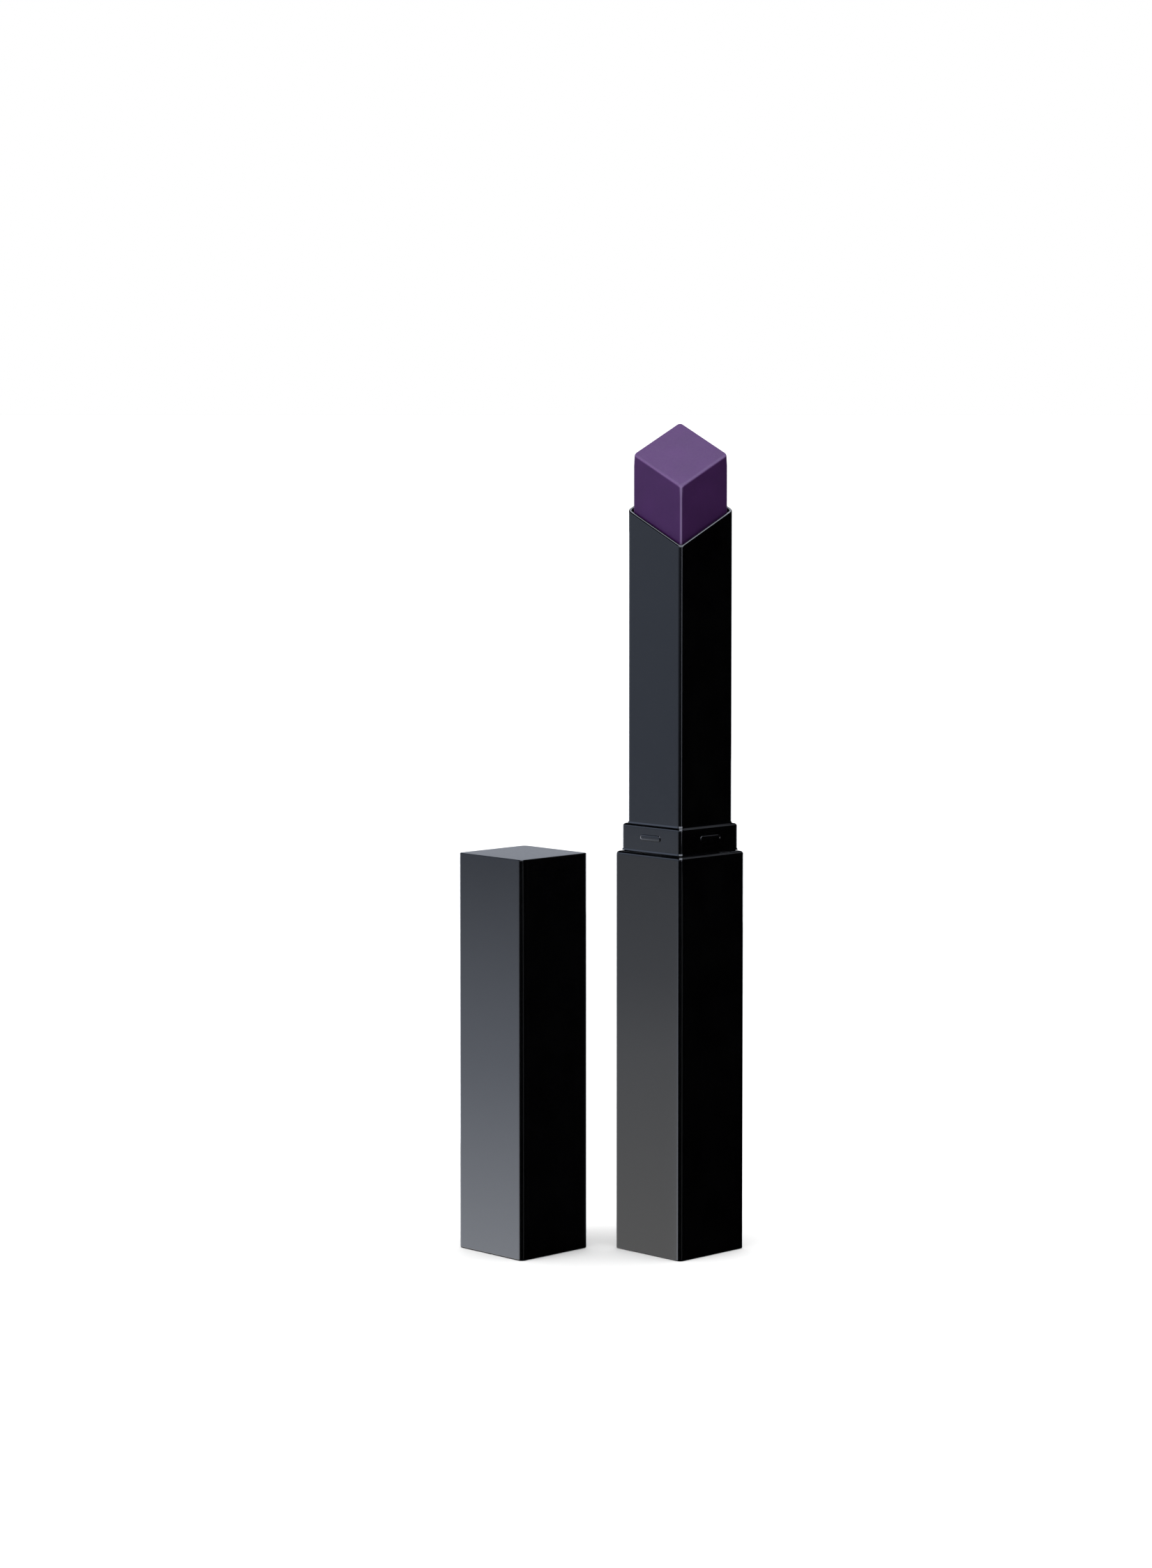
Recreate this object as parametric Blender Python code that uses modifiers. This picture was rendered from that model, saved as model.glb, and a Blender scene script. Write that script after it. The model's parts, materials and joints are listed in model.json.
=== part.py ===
"""Twist-up lipstick case of square section, with its bullet raised and its cap stood beside it.

The case stands on z = 0 with its axis on Z and its flat sides square to X and Y. The sleeve
and the bullet are cut on a slant that is lowest at the corner (+X, -Y). Everything is in metres.
"""

import math

import bmesh
import bpy
from mathutils import Matrix, Vector

# Outer case
CASE_SIDE = 0.0124  # base and cap, across the flats
CORNER_RADIUS = 0.00060  # upright edges of base, cap and sleeve
EDGE_RADIUS = 0.00012  # rims and end faces
BASE_HEIGHT = 0.0540
BASE_WALL = 0.00050
BASE_FLOOR = 0.0010
WEIGHT_HEIGHT = 0.0129
LABEL_SIDE = 0.0090
LABEL_THICKNESS = 0.00040
CORE_FLOOR = 0.0016
CORE_WALL = 0.00080  # thinnest wall, at the middle of each flat side
CORE_RECESS = 0.00030  # the core's top lies this far under the base's rim

# Twist mechanism
CAM_WALL = 0.0013
GROOVE_LAND = 0.00050  # cam wall left outside the groove
GUIDE_WALL = 0.00070
GUIDE_RING = 0.0025  # closed foot of the guide tube, under its slots
JOURNAL_HEIGHT = 0.00705
SLOT_MARGIN = 0.0029  # solid tube between the slots and the journal
CAM_END_GAP = 0.00050  # cam tube's top to the journal
PIN_DIAMETER = 0.0012
PIN_STOP = 0.00040  # room between the pin and either end of its slots
TURNS = 1.5  # twist from retracted to fully raised
REST_TURNS = 0.5  # twist already made in the rest position
DOG_WIDTH = 0.0014
DOG_HEIGHT = 0.0012
WASHER_WIDTH = 0.00060
RING_THICKNESS = 0.00050
RING_OPENING = math.radians(40)
RING_BITE = 0.00025  # how far the snap ring reaches into the core
RING_SEAT = 0.00060  # depth of its groove in the journal
RING_RISE = 0.0039  # its middle above the journal's foot
SEAL_RADIUS = 0.00048  # half the O-ring's cord
SEAL_SEAT = 0.00095
SEAL_RISE = 0.0018

# Collar, sleeve and carrier
COLLAR_STEP = 0.00060  # the collar's face lies this far inside the base's face
COLLAR_GAP = 0.00015
COLLAR_HEIGHT = 0.0036
COLLAR_FLOOR = 0.00085
COLLAR_WALL = 0.00050
FLANGE_THICKNESS = 0.00080
SPIGOT_HEIGHT = 0.00195
SLEEVE_WALL = 0.00040
SLEEVE_REACH = 0.0458  # rim above the base's rim, on the axis
SLANT = 0.67  # rise of rim and bullet top for each unit along the diagonal
BEAD_LENGTH = 0.0038
BEAD_WIDTH = 0.00085
BEAD_PROUD = 0.00015
BEAD_RISE = 0.00195  # bead's middle above the collar's foot
BEAD_ROUND = 0.98  # rounding of a bead's ends, as a share of half its width
PUSHER_FLANGE = 0.0010
PUSHER_GAP = 0.00025  # over the spigot when retracted
CUP_HEIGHT = 0.0080
CUP_FLOOR = 0.0010
CUP_WALL = 0.00060
RIVET_RADIUS = 0.0015
RIB_HEIGHT = 0.00020
RIB_WIDTH = 0.00045
RIB_SPREAD = 0.0019  # each side's two ribs stand this far from its middle
STEM_TAIL = 0.0015  # stem below the pin
BULLET_RADIUS = 0.00035  # upright edges of the bullet
BULLET_INSET = 0.00070  # bullet's top under the sleeve's rim when retracted

# Cap
CAP_WALL = 0.00050
CAP_TOP = 0.00085
LINER_WALL = 0.00040
LINER_TOP = 0.00080
LINER_RISE = 0.0042  # liner's mouth above the cap's rim
HEADROOM = 0.0014  # liner's ceiling over the sleeve's highest corner
CAP_DISTANCE = 0.0211  # cap's axis from the case's axis, towards (-X, -Y)

# Clearances
FIT = 0.00005  # pieces pushed or glued together
RUN = 0.00010  # pieces that turn or slide in each other
STEM_CLEARANCE = 0.00020

# Facets
CORNER_STEPS = 5
EDGE_STEPS = 2
ROUND_STEPS = 48
PIN_STEPS = 20
SEAL_STEPS = 12
OVERSHOOT = 0.0010  # how far a cutter runs past what it cuts

# Sizes across, from the outside inwards
inner_corner = CORNER_RADIUS / 2
core_side = CASE_SIDE - 2 * (BASE_WALL + FIT)
weight_side = core_side - 2 * RUN
bore_radius = core_side / 2 - CORE_WALL
cam_radius = bore_radius - FIT
cam_bore = cam_radius - CAM_WALL
groove_radius = cam_radius - GROOVE_LAND
guide_radius = cam_bore - RUN
guide_bore = guide_radius - GUIDE_WALL
stem_radius = guide_bore - STEM_CLEARANCE
journal_radius = bore_radius - RUN
pin_radius = PIN_DIAMETER / 2
pin_length = 2 * (groove_radius - RUN - FIT)
slot_width = PIN_DIAMETER + 3 * RUN
ring_inner = journal_radius - RING_SEAT + FIT
ring_outer = bore_radius + RING_BITE - FIT
collar_side = CASE_SIDE - 2 * COLLAR_STEP
socket_side = collar_side - 2 * COLLAR_WALL
sleeve_side = socket_side - 2 * FIT
sleeve_bore = sleeve_side - 2 * SLEEVE_WALL
spigot_side = sleeve_bore - 2 * FIT
cup_side = sleeve_bore - 2 * RUN
cup_bore = cup_side - 2 * CUP_WALL
bullet_side = cup_side - 2 * FIT
foot_side = cup_bore - 2 * (RIB_HEIGHT + FIT)
cap_bore = CASE_SIDE - 2 * CAP_WALL
liner_side = cap_bore - 2 * FIT
liner_bore = liner_side - 2 * LINER_WALL

# Heights, from the foot upwards
weight_z = BASE_FLOOR + RUN
core_z = weight_z + WEIGHT_HEIGHT + RUN
core_top = BASE_HEIGHT - CORE_RECESS
bore_z = core_z + CORE_FLOOR
cam_z = bore_z + RUN
guide_z = bore_z + 3 * RUN
collar_z = BASE_HEIGHT + COLLAR_GAP
flange_z = collar_z + COLLAR_FLOOR + FIT
journal_z = flange_z - JOURNAL_HEIGHT
cam_top = journal_z - CAM_END_GAP
slot_z = guide_z + GUIDE_RING
slot_top = journal_z - SLOT_MARGIN
pin_low = slot_z + pin_radius + PIN_STOP
pin_high = slot_top - pin_radius - PIN_STOP
travel = pin_high - pin_low
lead = travel / TURNS
lift = lead * REST_TURNS
ring_z = journal_z + RING_RISE
seal_z = journal_z + SEAL_RISE
sleeve_z = flange_z + FLANGE_THICKNESS + FIT
spigot_top = flange_z + FLANGE_THICKNESS + SPIGOT_HEIGHT
rim_z = BASE_HEIGHT + SLEEVE_REACH
pusher_z = spigot_top + PUSHER_GAP + lift
cup_z = pusher_z + PUSHER_FLANGE + FIT
cup_top = cup_z + CUP_HEIGHT
bullet_z = cup_top + FIT
bullet_tip = rim_z - BULLET_INSET + lift
sleeve_apex = SLEEVE_REACH + SLANT * sleeve_side / math.sqrt(2)
liner_ceiling = sleeve_apex + HEADROOM
cap_height = liner_ceiling + LINER_TOP + FIT + CAP_TOP

parts = bpy.data.collections.new("lipstick_case")
cutters = bpy.data.collections.new("cutters")


def clear_scene():
    for obj in list(bpy.data.objects):
        bpy.data.objects.remove(obj, do_unlink=True)
    for collection in (parts, cutters):
        bpy.context.scene.collection.children.link(collection)


def axis_empty(name, location=(0, 0, 0), parent=None):
    """An empty on a joint's axis, which the pieces that move together hang on."""
    empty = bpy.data.objects.new(name, None)
    empty.location = location
    empty.empty_display_size = CASE_SIDE
    empty.parent = parent
    parts.objects.link(empty)
    return empty


def mesh_object(name, bm, parent, location):
    bmesh.ops.recalc_face_normals(bm, faces=bm.faces)
    mesh = bpy.data.meshes.new(name)
    bm.to_mesh(mesh)
    bm.free()
    obj = bpy.data.objects.new(name, mesh)
    obj.location = location
    obj.parent = parent
    parts.objects.link(obj)
    return obj


def block(name, width, depth, height, radius=0.0, edge=0.0, parent=None, at=(0, 0, 0), slant=None):
    """A square bar standing on at, with rounded upright edges, and with rounded end edges or
    a slanted top whose height on the axis is slant."""
    bm = bmesh.new()
    bmesh.ops.create_cube(bm, size=1.0)
    bmesh.ops.scale(bm, vec=(width, depth, height), verts=bm.verts)
    bmesh.ops.translate(bm, vec=(0, 0, height / 2), verts=bm.verts)
    if radius:
        upright = [e for e in bm.edges if (e.verts[0].co - e.verts[1].co).xy.length < FIT]
        bmesh.ops.bevel(
            bm, geom=upright, offset=radius, segments=CORNER_STEPS, profile=0.5, affect="EDGES"
        )
    bm.normal_update()
    if edge:
        ends = {e for f in bm.faces if abs(f.normal.z) > 0.9 for e in f.edges}
        bmesh.ops.bevel(
            bm, geom=list(ends), offset=edge, segments=EDGE_STEPS, profile=0.5, affect="EDGES"
        )
    if slant is not None:
        normal = Vector((SLANT, -SLANT, math.sqrt(2))).normalized()
        every = bm.verts[:] + bm.edges[:] + bm.faces[:]
        bmesh.ops.bisect_plane(
            bm, geom=every, plane_co=(0, 0, slant), plane_no=normal, clear_outer=True
        )
        bmesh.ops.holes_fill(bm, edges=[e for e in bm.edges if e.is_boundary])
    return mesh_object(name, bm, parent, at)


def drum(name, radius, height, parent=None, at=(0, 0, 0), steps=ROUND_STEPS):
    """An upright cylinder standing on at."""
    bm = bmesh.new()
    bmesh.ops.create_cone(
        bm, cap_ends=True, segments=steps, radius1=radius, radius2=radius, depth=height
    )
    bmesh.ops.translate(bm, vec=(0, 0, height / 2), verts=bm.verts)
    return mesh_object(name, bm, parent, at)


def ring_of(name, inner, outer, z, height, parent=None):
    """A full turned ring of rectangular section, with its foot at z."""
    profile = [(outer, z + height), (outer, z), (inner, z), (inner, z + height)]
    return turned(name, profile, True, parent)


def turned(name, profile, loop, parent=None):
    """A profile of (radius, z) points, down its outer side, turned about Z by a Screw."""
    mesh = bpy.data.meshes.new(name)
    count = len(profile)
    edges = [(i, (i + 1) % count) for i in range(count if loop else count - 1)]
    mesh.from_pydata([(radius, 0, z) for radius, z in profile], edges, [])
    obj = bpy.data.objects.new(name, mesh)
    obj.parent = parent
    parts.objects.link(obj)
    screw = obj.modifiers.new("turn", "SCREW")
    screw.steps = screw.render_steps = ROUND_STEPS
    screw.use_merge_vertices = not loop
    screw.merge_threshold = 1e-6
    return obj


def swept(name, inner, outer, z, height, start, turn, rise, parent=None):
    """A bar of rectangular section wound about Z from angle start, with both ends closed."""
    source = ring_of(name + "_path", inner, outer, z, height)
    screw = source.modifiers["turn"]
    screw.angle = turn
    screw.screw_offset = rise
    screw.steps = screw.render_steps = math.ceil(ROUND_STEPS * turn / math.tau)
    bpy.context.view_layer.update()
    graph = bpy.context.evaluated_depsgraph_get()
    wound = bpy.data.meshes.new_from_object(source.evaluated_get(graph))
    bpy.data.objects.remove(source)
    bm = bmesh.new()
    bm.from_mesh(wound)
    bmesh.ops.holes_fill(bm, edges=[e for e in bm.edges if e.is_boundary])
    bmesh.ops.rotate(bm, matrix=Matrix.Rotation(start, 3, "Z"), verts=bm.verts)
    return mesh_object(name, bm, parent, (0, 0, 0))


def combine(piece, tool, operation="DIFFERENCE"):
    """Cuts tool from piece, or joins it on, and puts tool away with the cutters."""
    tool.parent = piece.parent
    tool.hide_render = True
    tool.display_type = "WIRE"
    parts.objects.unlink(tool)
    cutters.objects.link(tool)
    boolean = piece.modifiers.new(tool.name, "BOOLEAN")
    boolean.operation = operation
    boolean.solver = "EXACT"
    boolean.object = tool


def finish(obj, color, roughness, metallic=0.0):
    """Gives the piece its own material, and smooth shading that keeps its sharp edges."""
    material = bpy.data.materials.new(obj.name)
    material.use_nodes = True
    shader = material.node_tree.nodes["Principled BSDF"]
    shader.inputs["Base Color"].default_value = (*color, 1.0)
    shader.inputs["Roughness"].default_value = roughness
    shader.inputs["Metallic"].default_value = metallic
    obj.data.materials.append(material)
    obj.data.shade_smooth()
    obj.data.set_sharp_from_angle(angle=math.radians(30))
    return obj


BLACK = (0.010, 0.010, 0.013)
MOULDING = (0.025, 0.025, 0.028)
NATURAL = (0.72, 0.71, 0.68)
STEEL = (0.56, 0.56, 0.57)
PURPLE = (0.036, 0.008, 0.067)
LABEL = (0.62, 0.60, 0.62)
RUBBER = (0.020, 0.020, 0.020)


def make_base_shell():
    shell = block(
        "base_shell", CASE_SIDE, CASE_SIDE, BASE_HEIGHT, radius=CORNER_RADIUS, edge=EDGE_RADIUS
    )
    inside = CASE_SIDE - 2 * BASE_WALL
    depth = BASE_HEIGHT - BASE_FLOOR + OVERSHOOT
    combine(shell, block("base_inside", inside, inside, depth, radius=inner_corner,
                         at=(0, 0, BASE_FLOOR)))
    recess = LABEL_SIDE + 4 * FIT
    combine(shell, block("label_recess", recess, recess, LABEL_THICKNESS + FIT + OVERSHOOT,
                         radius=CORNER_RADIUS, at=(0, 0, -OVERSHOOT)))
    finish(shell, BLACK, 0.12)


def make_shade_label():
    label = block("shade_label", LABEL_SIDE, LABEL_SIDE, LABEL_THICKNESS, radius=CORNER_RADIUS)
    finish(label, LABEL, 0.5)


def make_base_weight():
    weight = block("base_weight", weight_side, weight_side, WEIGHT_HEIGHT,
                   radius=CORNER_RADIUS, edge=EDGE_RADIUS, at=(0, 0, weight_z))
    finish(weight, STEEL, 0.35, 1.0)


def make_base_core():
    """Moulded insert, which holds the cam tube and carries the turning journal."""
    core = block("base_core", core_side, core_side, core_top - core_z,
                 radius=CORNER_RADIUS, at=(0, 0, core_z))
    combine(core, drum("core_bore", bore_radius, core_top - bore_z + OVERSHOOT, at=(0, 0, bore_z)))
    seat = RING_THICKNESS + RUN
    combine(core, ring_of("core_ring_seat", journal_radius - RUN, bore_radius + RING_BITE,
                          ring_z - seat / 2, seat))
    reach = (cam_radius - cam_bore) + RUN
    for number, side in enumerate((1, -1)):
        middle = side * (bore_radius + RUN - reach / 2)
        dog = block(f"core_dog_{number}", DOG_WIDTH, reach, DOG_HEIGHT + FIT,
                    at=(0, middle, bore_z - FIT))
        combine(core, dog, "UNION")
    finish(core, MOULDING, 0.45)


def make_cam_tube():
    """Fixed tube with two helical grooves in its bore, in which the drive pin's ends run."""
    cam = ring_of("cam_tube", cam_bore, cam_radius, cam_z, cam_top - cam_z)
    # The pin meets the helix at its steepest on the bore, so the groove's height is set there.
    steepness = math.atan(lead / (math.tau * cam_bore))
    height = (PIN_DIAMETER + 2 * RUN) / math.cos(steepness)
    entry = TURNS * math.tau + (cam_top + OVERSHOOT - pin_high) * math.tau / lead
    tail = (pin_radius + RUN) / cam_bore
    for number in range(2):
        start = number * math.pi - REST_TURNS * math.tau - tail
        foot = pin_low - height / 2 - tail * lead / math.tau
        turn = entry + tail
        groove = swept(f"cam_groove_{number}", cam_bore - RUN, groove_radius, foot, height,
                       start, turn, turn * lead / math.tau)
        combine(cam, groove)
    notch_width = DOG_WIDTH + 2 * RUN
    notch_height = DOG_HEIGHT + RUN
    notch = block("cam_notch", notch_width, 2 * cam_radius + OVERSHOOT, notch_height + OVERSHOOT,
                  at=(0, 0, cam_z - OVERSHOOT))
    combine(cam, notch)
    finish(cam, NATURAL, 0.4)


def make_glide_washer():
    inner = journal_radius + FIT
    washer = ring_of("glide_washer", inner, inner + WASHER_WIDTH,
                     core_top + FIT, collar_z - core_top - 2 * FIT)
    finish(washer, MOULDING, 0.4)


def make_guide_tube(sleeve_axis):
    """Slotted tube that turns with the sleeve, with its journal, square flange and spigot."""
    join = FLANGE_THICKNESS / 2
    ring_half = (RING_THICKNESS + RUN) / 2
    seal_half = SEAL_RADIUS + RUN
    journal = [(journal_radius, flange_z + join)]
    for middle, half, seat in ((ring_z, ring_half, RING_SEAT), (seal_z, seal_half, SEAL_SEAT)):
        floor = journal_radius - seat
        journal += [(journal_radius, middle + half), (floor, middle + half)]
        journal += [(floor, middle - half), (journal_radius, middle - half)]
    journal += [(journal_radius, journal_z), (guide_radius, journal_z), (guide_radius, guide_z)]
    outline = [(0, flange_z + join), *journal, (0, guide_z)]
    guide = turned("guide_tube", outline, False, sleeve_axis)
    combine(guide, block("guide_flange", sleeve_side, sleeve_side, FLANGE_THICKNESS,
                         radius=CORNER_RADIUS, at=(0, 0, flange_z)), "UNION")
    combine(guide, block("guide_spigot", spigot_side, spigot_side, SPIGOT_HEIGHT + join,
                         radius=inner_corner, at=(0, 0, flange_z + join)), "UNION")
    length = spigot_top - guide_z + 2 * OVERSHOOT
    combine(guide, drum("guide_bore", guide_bore, length, at=(0, 0, guide_z - OVERSHOOT)))
    combine(guide, block("guide_slots", 2 * guide_radius + OVERSHOOT, slot_width,
                         slot_top - slot_z, at=(0, 0, slot_z)))
    finish(guide, NATURAL, 0.4)


def make_retaining_ring(sleeve_axis):
    ring = swept("retaining_ring", ring_inner, ring_outer, ring_z - RING_THICKNESS / 2,
                 RING_THICKNESS, RING_OPENING / 2, math.tau - RING_OPENING, 0.0, sleeve_axis)
    finish(ring, STEEL, 0.3, 1.0)


def make_friction_ring(sleeve_axis):
    """O-ring in the journal, which gives the twist its drag."""
    middle = bore_radius - FIT - SEAL_RADIUS
    bpy.ops.mesh.primitive_torus_add(
        major_segments=ROUND_STEPS, minor_segments=SEAL_STEPS, major_radius=middle,
        minor_radius=SEAL_RADIUS, location=(0, 0, seal_z),
    )
    ring = bpy.context.object
    ring.name = "friction_ring"
    for collection in list(ring.users_collection):
        collection.objects.unlink(ring)
    parts.objects.link(ring)
    ring.parent = sleeve_axis
    finish(ring, RUBBER, 0.6)


def snap_beads(name, reach, depth, grow):
    """Four oblong blocks, one on each flat side, whose outer faces lie reach from the axis."""
    beads = []
    for side in range(4):
        bead = block(f"{name}_{side}", BEAD_LENGTH + 2 * grow, BEAD_WIDTH + 2 * grow, depth,
                     radius=BEAD_ROUND * (BEAD_WIDTH / 2 + grow))
        turn = Matrix.Rotation(side * math.pi / 2, 4, "Z")
        bead.data.transform(turn @ Matrix.Translation((0, depth - reach, 0))
                            @ Matrix.Rotation(math.pi / 2, 4, "X"))
        beads.append(bead)
    return beads


def make_collar(sleeve_axis):
    """Square collar over the base's rim, with the beads that the cap snaps over."""
    collar = block("collar", collar_side, collar_side, COLLAR_HEIGHT, radius=CORNER_RADIUS,
                   edge=EDGE_RADIUS, parent=sleeve_axis, at=(0, 0, collar_z))
    for bead in snap_beads("collar_bead", collar_side / 2 + BEAD_PROUD, COLLAR_WALL / 2
                           + BEAD_PROUD, 0.0):
        bead.location.z = collar_z + BEAD_RISE
        combine(collar, bead, "UNION")
    combine(collar, block("collar_socket", socket_side, socket_side, COLLAR_HEIGHT,
                          radius=inner_corner, at=(0, 0, collar_z + COLLAR_FLOOR)))
    combine(collar, drum("collar_hole", journal_radius + RUN, COLLAR_FLOOR + 2 * OVERSHOOT,
                         at=(0, 0, collar_z - OVERSHOOT)))
    finish(collar, BLACK, 0.15)


def make_sleeve(sleeve_axis):
    tall = sleeve_side * SLANT + rim_z - sleeve_z
    sleeve = block("sleeve", sleeve_side, sleeve_side, tall, radius=CORNER_RADIUS,
                   parent=sleeve_axis, at=(0, 0, sleeve_z), slant=rim_z - sleeve_z)
    combine(sleeve, block("sleeve_bore", sleeve_bore, sleeve_bore, tall + 2 * OVERSHOOT,
                          radius=inner_corner, at=(0, 0, sleeve_z - OVERSHOOT)))
    finish(sleeve, BLACK, 0.10)


def make_pusher(carrier_axis):
    """Stem with a flange under the cup, a rivet through its floor and a cross hole for the pin."""
    pin_z = pin_low + lift
    foot = pin_z - pin_radius - STEM_TAIL
    flange_radius = cup_side / 2 - 2 * RUN
    top = cup_z + CUP_FLOOR - RUN
    flange_top = pusher_z + PUSHER_FLANGE
    outline = [(0, top), (RIVET_RADIUS, top), (RIVET_RADIUS, flange_top)]
    outline += [(flange_radius, flange_top), (flange_radius, pusher_z)]
    outline += [(stem_radius, pusher_z), (stem_radius, foot), (0, foot)]
    pusher = turned("pusher", outline, False, carrier_axis)
    hole = drum("pin_hole", pin_radius + FIT, 2 * stem_radius + OVERSHOOT, steps=PIN_STEPS)
    hole.data.transform(Matrix.Rotation(math.pi / 2, 4, "Y")
                        @ Matrix.Translation((0, 0, -stem_radius - OVERSHOOT / 2)))
    hole.location.z = pin_z
    combine(pusher, hole)
    finish(pusher, NATURAL, 0.4)


def make_drive_pin(carrier_axis):
    pin = drum("drive_pin", pin_radius, pin_length, carrier_axis, steps=PIN_STEPS)
    pin.data.transform(Matrix.Rotation(math.pi / 2, 4, "Y")
                       @ Matrix.Translation((0, 0, -pin_length / 2)))
    pin.location.z = pin_low + lift
    finish(pin, STEEL, 0.3, 1.0)


def make_cup(carrier_axis):
    """Square cup, whose inner ribs grip the foot of the bullet."""
    cup = block("cup", cup_side, cup_side, CUP_HEIGHT, radius=CORNER_RADIUS,
                parent=carrier_axis, at=(0, 0, cup_z))
    combine(cup, block("cup_inside", cup_bore, cup_bore, CUP_HEIGHT, radius=inner_corner,
                       at=(0, 0, cup_z + CUP_FLOOR)))
    combine(cup, drum("cup_hole", RIVET_RADIUS + FIT, CUP_FLOOR + 2 * OVERSHOOT,
                      at=(0, 0, cup_z - OVERSHOOT)))
    reach = cup_bore / 2 - RIB_HEIGHT
    depth = RIB_HEIGHT + CUP_WALL / 2
    for side in range(4):
        turn = Matrix.Rotation(side * math.pi / 2, 4, "Z")
        for spread in (-RIB_SPREAD, RIB_SPREAD):
            rib = block("cup_rib", RIB_WIDTH, depth, CUP_HEIGHT - CUP_FLOOR,
                        at=(0, 0, cup_z + CUP_FLOOR / 2))
            rib.data.transform(turn @ Matrix.Translation((spread, reach + depth / 2, 0)))
            combine(cup, rib, "UNION")
    finish(cup, MOULDING, 0.35)


def make_bullet(carrier_axis):
    """Square stick of lip colour, slanted like the sleeve's rim, on a smaller foot in the cup."""
    tall = bullet_side * SLANT + bullet_tip - bullet_z
    bullet = block("bullet", bullet_side, bullet_side, tall, radius=BULLET_RADIUS,
                   parent=carrier_axis, at=(0, 0, bullet_z), slant=bullet_tip - bullet_z)
    foot_z = cup_z + CUP_FLOOR + FIT
    combine(bullet, block("bullet_foot", foot_side, foot_side, bullet_z - foot_z + OVERSHOOT,
                          radius=inner_corner, at=(0, 0, foot_z)), "UNION")
    finish(bullet, PURPLE, 0.45)


def make_cap_shell(cap_axis):
    shell = block("cap_shell", CASE_SIDE, CASE_SIDE, cap_height, radius=CORNER_RADIUS,
                  edge=EDGE_RADIUS, parent=cap_axis)
    combine(shell, block("cap_inside", cap_bore, cap_bore, cap_height - CAP_TOP + OVERSHOOT,
                         radius=inner_corner, at=(0, 0, -OVERSHOOT)))
    reach = collar_side / 2 + BEAD_PROUD + FIT
    for dimple in snap_beads("cap_dimple", reach, reach - cap_bore / 2 + BASE_WALL / 2, FIT):
        dimple.location.z = COLLAR_GAP + BEAD_RISE
        combine(shell, dimple)
    finish(shell, BLACK, 0.12)


def make_cap_liner(cap_axis):
    top = liner_ceiling + LINER_TOP
    liner = block("cap_liner", liner_side, liner_side, top - LINER_RISE,
                  radius=CORNER_RADIUS, parent=cap_axis, at=(0, 0, LINER_RISE))
    combine(liner, block("liner_inside", liner_bore, liner_bore,
                         liner_ceiling - LINER_RISE + OVERSHOOT, radius=inner_corner,
                         at=(0, 0, LINER_RISE - OVERSHOOT)))
    finish(liner, MOULDING, 0.4)


def build():
    clear_scene()
    make_base_shell()
    make_shade_label()
    make_base_weight()
    make_base_core()
    make_cam_tube()
    make_glide_washer()
    sleeve_axis = axis_empty("twist_axis")
    make_guide_tube(sleeve_axis)
    make_retaining_ring(sleeve_axis)
    make_friction_ring(sleeve_axis)
    make_collar(sleeve_axis)
    make_sleeve(sleeve_axis)
    carrier_axis = axis_empty("propel_axis", parent=sleeve_axis)
    make_pusher(carrier_axis)
    make_drive_pin(carrier_axis)
    make_cup(carrier_axis)
    make_bullet(carrier_axis)
    aside = -CAP_DISTANCE / math.sqrt(2)
    cap_axis = axis_empty("cap_axis", (aside, aside, 0))
    make_cap_shell(cap_axis)
    make_cap_liner(cap_axis)


build()
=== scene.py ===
# %% [markdown]
# # A square twist-up lipstick, open, with its cap beside it
#
# The case stands on z = 0 with its axis on Z. Its flat sides are square to X and Y, and the
# camera looks at the upright edge between +X and -Y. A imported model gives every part's place and
# how it moves. This lesson builds the fine surfaces around it: softened edges, a slanted rim, a
# waxy bullet, and a studio whose lights draw each edge of a black lacquered box.

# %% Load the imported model
import json
import math

import bmesh
import bpy
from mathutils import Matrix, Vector


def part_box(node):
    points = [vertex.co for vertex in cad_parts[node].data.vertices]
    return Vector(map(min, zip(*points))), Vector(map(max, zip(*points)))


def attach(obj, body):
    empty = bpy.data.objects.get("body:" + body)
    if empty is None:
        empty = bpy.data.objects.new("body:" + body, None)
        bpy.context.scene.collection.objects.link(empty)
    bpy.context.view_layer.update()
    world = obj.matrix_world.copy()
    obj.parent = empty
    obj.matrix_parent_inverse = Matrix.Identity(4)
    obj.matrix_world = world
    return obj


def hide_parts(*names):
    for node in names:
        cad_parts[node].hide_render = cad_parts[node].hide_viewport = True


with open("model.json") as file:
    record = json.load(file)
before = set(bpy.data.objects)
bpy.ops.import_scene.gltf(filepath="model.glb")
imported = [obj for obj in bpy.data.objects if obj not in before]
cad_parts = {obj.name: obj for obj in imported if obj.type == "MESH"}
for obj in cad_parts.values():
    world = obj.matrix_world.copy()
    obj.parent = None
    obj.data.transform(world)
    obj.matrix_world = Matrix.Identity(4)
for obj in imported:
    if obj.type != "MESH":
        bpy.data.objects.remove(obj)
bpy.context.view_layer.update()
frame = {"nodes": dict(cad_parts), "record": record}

MM = 0.001
print("nodes:", len(frame["nodes"]))


def node_middle(node):
    """The middle of a node's box on the floor plan, where its own axis stands."""
    low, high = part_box(node)
    return Vector(((low.x + high.x) / 2, (low.y + high.y) / 2, 0.0))


def node_half(node):
    low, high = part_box(node)
    return (high.x - low.x) / 2


# %% [markdown]
# ## Procedural finishes
#
# Every finish is built from nodes on Object coordinates. The pieces are only a few centimetres
# long, so a Mapping node first turns metres into millimetres: a noise scale of 2 then means about
# two features in each millimetre. The helpers below make the parts that all finishes share: a
# noise, a noise that drives the roughness between two values, and a fine bump.

# %% Shared parts of the finishes
NOISE_LOW = 0.3  # a noise seldom goes below this
NOISE_HIGH = 0.7  # or above this
TINT_ENDS = (0.35, 0.65)  # the noise values at which a blend is all one colour


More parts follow.
